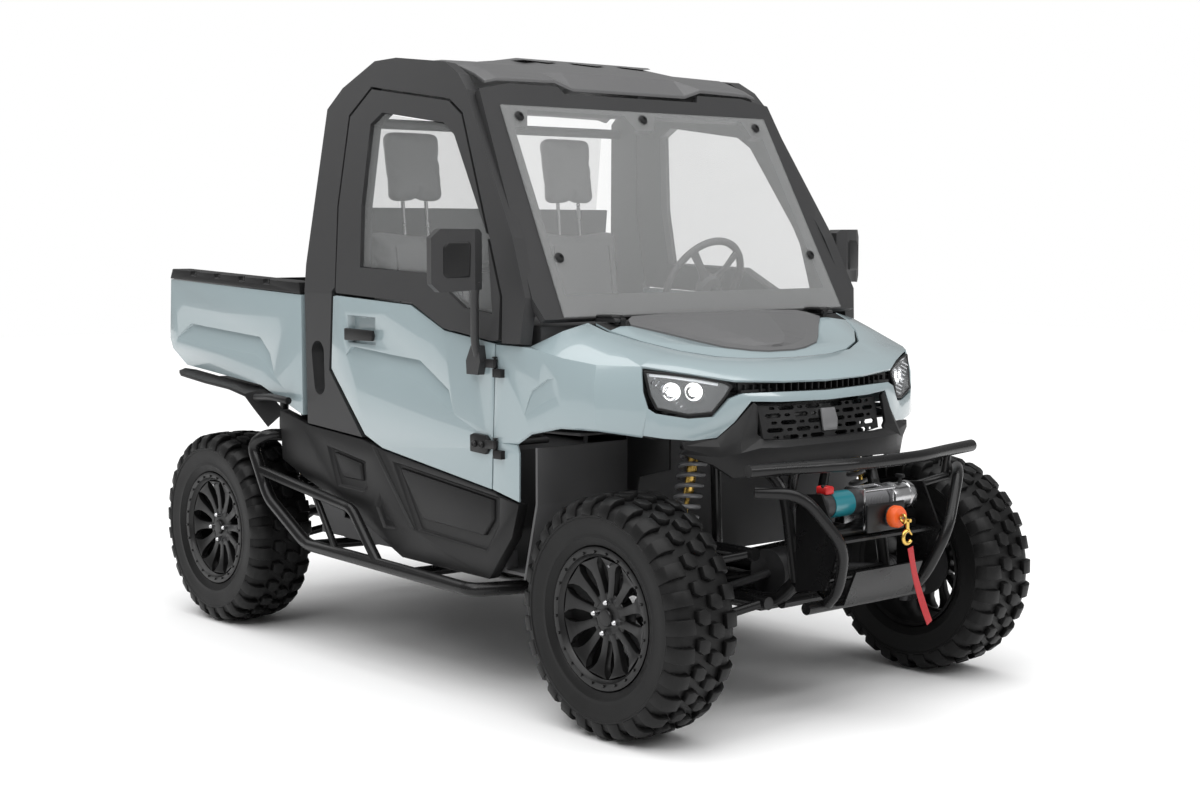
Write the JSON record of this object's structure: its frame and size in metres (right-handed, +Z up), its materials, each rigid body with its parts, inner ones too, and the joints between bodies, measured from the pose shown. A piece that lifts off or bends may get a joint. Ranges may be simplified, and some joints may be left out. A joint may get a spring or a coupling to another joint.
{
  "type": "side by side utility vehicle",
  "caption": "Two-seat off-road utility vehicle with a hard cab, opening doors and hood, steered front wheels and a tilting cargo bed with a tailgate.",
  "frame": {"origin": "on the ground, midway between the axles on the centre plane", "axes": "+X forward, +Y left, +Z up"},
  "size_m": [3.1645, 1.9078, 2.0469],
  "materials": {
    "frame": "satin black powder coat",
    "engine": "cast metal",
    "driveline": "machined and cast steel",
    "arms": "satin black",
    "shocks": "grey coil springs on polished bodies",
    "cab_floor": "textured moulding",
    "cab_frame": "fine grained dark grey",
    "roof": "fine grained dark grey",
    "cab_glass": "clear",
    "front_fenders": "glossy pale blue grey",
    "front_fascia": "textured black",
    "grille": "black mesh",
    "headlamps": "clear lens over dark housing",
    "side_panels": "textured black",
    "rear_fenders": "textured black",
    "sliders": "satin black",
    "bumper": "satin black",
    "winch": "black with silver ends",
    "pull_strap": "red webbing",
    "dashboard": "textured black",
    "seats": "dark vinyl",
    "steering_column": "black",
    "hood_panel": "glossy pale blue grey",
    "hood_insert": "fine grained dark grey",
    "bed_tub": "textured black",
    "bed_sides": "glossy pale blue grey",
    "bed_rails": "textured black",
    "tail_lamps": "clear red",
    "tailgate": "textured black",
    "right_door_panel": "glossy pale blue grey",
    "right_door_frame": "fine grained dark grey",
    "right_door_glass": "clear",
    "steering_wheel": "soft grip",
    "front_knuckle_right": "cast steel",
    "rim": "satin black paint",
    "tyre": "black rubber"
  },
  "bodies": {
    "chassis": {"frame": "frame", "engine": "engine", "driveline": "driveline", "arms": "arms", "shocks": "shocks", "cab_floor": "cab_floor", "cab_frame": "cab_frame", "roof": "roof", "cab_glass": "cab_glass", "front_fenders": "front_fenders", "front_fascia": "front_fascia", "grille": "grille", "headlamps": "headlamps", "side_panels": "side_panels", "rear_fenders": "rear_fenders", "sliders": "sliders", "bumper": "bumper", "winch": "winch", "pull_strap": "pull_strap", "dashboard": "dashboard", "seats": "seats", "steering_column": "steering_column"},
    "hood": {"hood_panel": "hood_panel", "hood_insert": "hood_insert"},
    "cargo_bed": {"bed_tub": "bed_tub", "bed_sides": "bed_sides", "bed_rails": "bed_rails", "tail_lamps": "tail_lamps"},
    "tailgate": {"tailgate": "tailgate"},
    "right_door": {"right_door_panel": "right_door_panel", "right_door_frame": "right_door_frame", "right_door_glass": "right_door_glass"},
    "left_door": {"left_door_panel": "right_door_panel", "left_door_frame": "right_door_frame", "left_door_glass": "right_door_glass"},
    "steering_wheel": {"steering_wheel": "steering_wheel"},
    "knuckle_right": {"front_knuckle_right": "front_knuckle_right"},
    "knuckle_left": {"front_knuckle_left": "front_knuckle_right"},
    "wheel_front_right": {"rim_front_right": "rim", "tyre_front_right": "tyre"},
    "wheel_front_left": {"rim_front_left": "rim", "tyre_front_left": "tyre"},
    "wheel_rear_right": {"rim_rear_right": "rim", "tyre_rear_right": "tyre"},
    "wheel_rear_left": {"rim_rear_left": "rim", "tyre_rear_left": "tyre"}
  },
  "joints": [
    {"name": "hood_hinge", "type": "hinge", "parent": "chassis", "child": "hood", "pos_m": [0.835, 0, 1.19], "axis": [0, -1, 0], "range_deg": [0, 45]},
    {"name": "bed_tilt", "type": "hinge", "parent": "chassis", "child": "cargo_bed", "pos_m": [-1.38, 0, 0.93], "axis": [0, -1, 0], "range_deg": [0, 42]},
    {"name": "tailgate_hinge", "type": "hinge", "parent": "cargo_bed", "child": "tailgate", "pos_m": [-1.494, 0, 1.012], "axis": [0, -1, 0], "range_deg": [0, 90]},
    {"name": "right_door_hinge", "type": "hinge", "parent": "chassis", "child": "right_door", "pos_m": [0.577, -0.744, 0.75], "axis": [0, 0, 1], "range_deg": [0, 75]},
    {"name": "left_door_hinge", "type": "hinge", "parent": "chassis", "child": "left_door", "pos_m": [0.577, 0.744, 0.75], "axis": [0, 0, -1], "range_deg": [0, 75]},
    {"name": "steer_right", "type": "hinge", "parent": "chassis", "child": "knuckle_right", "pos_m": [1.1115, -0.56, 0.3555], "axis": [0, 0, 1], "range_deg": [-30, 30]},
    {"name": "steer_left", "type": "hinge", "parent": "chassis", "child": "knuckle_left", "pos_m": [1.1115, 0.56, 0.3555], "axis": [0, 0, 1], "range_deg": [-30, 30]},
    {"name": "steering_wheel_turn", "type": "hinge", "parent": "chassis", "child": "steering_wheel", "pos_m": [0.35, 0.355, 1.28], "axis": [-0.887, 0, 0.4617], "range_deg": [-300, 300]},
    {"name": "spin_front_right", "type": "hinge", "parent": "knuckle_right", "child": "wheel_front_right", "pos_m": [1.1115, -0.676, 0.3555], "axis": [0, 1, 0], "continuous": true},
    {"name": "spin_front_left", "type": "hinge", "parent": "knuckle_left", "child": "wheel_front_left", "pos_m": [1.1115, 0.676, 0.3555], "axis": [0, 1, 0], "continuous": true},
    {"name": "spin_rear_right", "type": "hinge", "parent": "chassis", "child": "wheel_rear_right", "pos_m": [-1.1115, -0.676, 0.3555], "axis": [0, 1, 0], "continuous": true},
    {"name": "spin_rear_left", "type": "hinge", "parent": "chassis", "child": "wheel_rear_left", "pos_m": [-1.1115, 0.676, 0.3555], "axis": [0, 1, 0], "continuous": true}
  ],
  "couplings": [
    {"joint": "steer_left", "follows": "steer_right", "ratio": 1},
    {"joint": "steering_wheel_turn", "follows": "steer_right", "ratio": 10}
  ]
}
